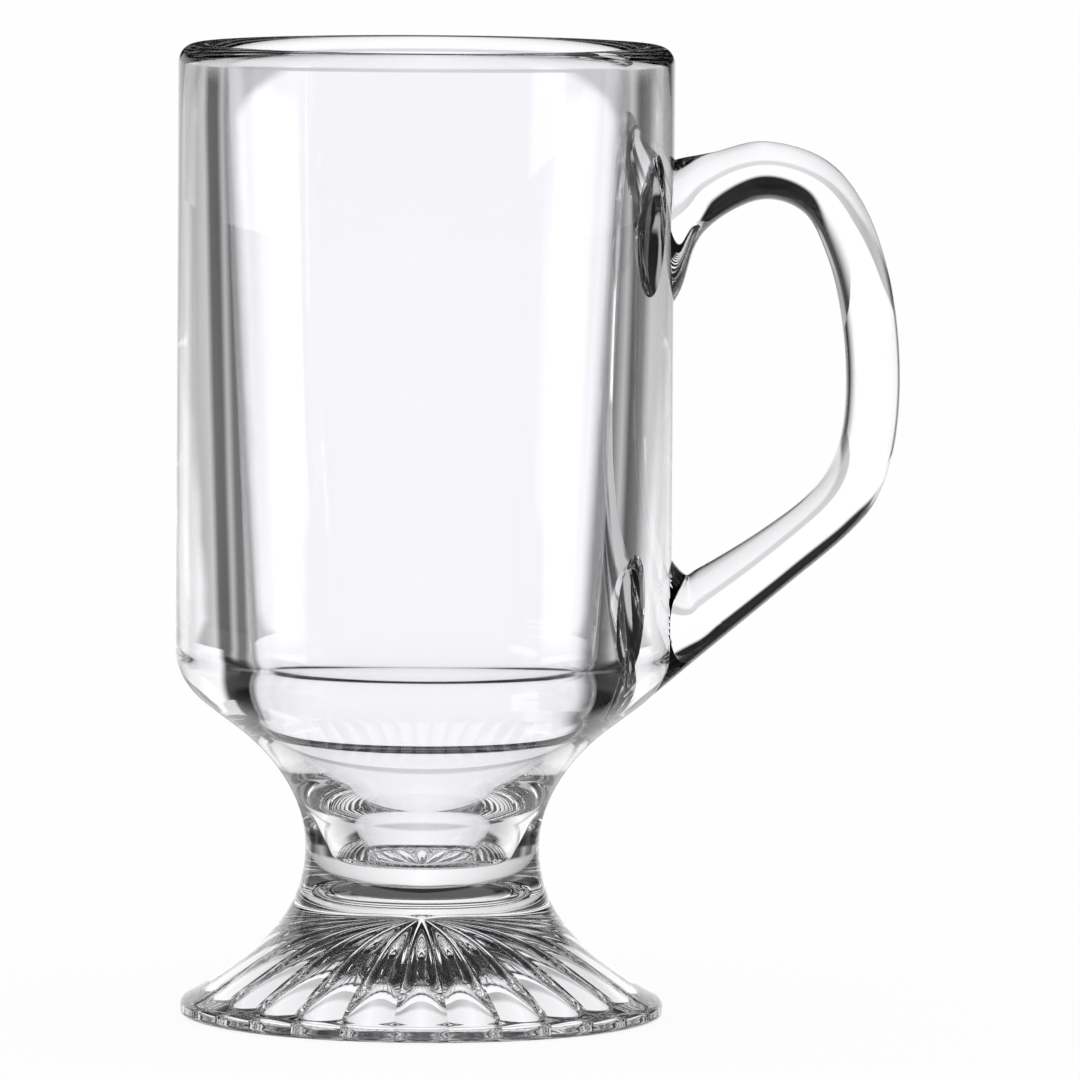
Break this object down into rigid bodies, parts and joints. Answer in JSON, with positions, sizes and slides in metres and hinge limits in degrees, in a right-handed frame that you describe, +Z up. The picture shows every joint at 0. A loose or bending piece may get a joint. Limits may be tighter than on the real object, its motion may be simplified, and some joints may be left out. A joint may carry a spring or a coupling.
{
  "type": "irish coffee glass mug",
  "caption": "Footed mug of thick clear glass: straight bowl with a funnel and well inside, narrow waist, flared foot fluted underneath, and a tall bent handle.",
  "frame": {"origin": "centre of the base on the glass axis, on the table plane", "axes": "+Z up along the axis of the bowl and the foot, +X from the axis towards the handle, +Y to the far side of the picture"},
  "size_m": [0.1085, 0.0744, 0.146],
  "materials": {
    "clear_glass": "clear, fire polished"
  },
  "bodies": {
    "root": {"bowl": "clear_glass", "foot": "clear_glass", "handle": "clear_glass", "handle_lug": "clear_glass"}
  },
  "joints": []
}
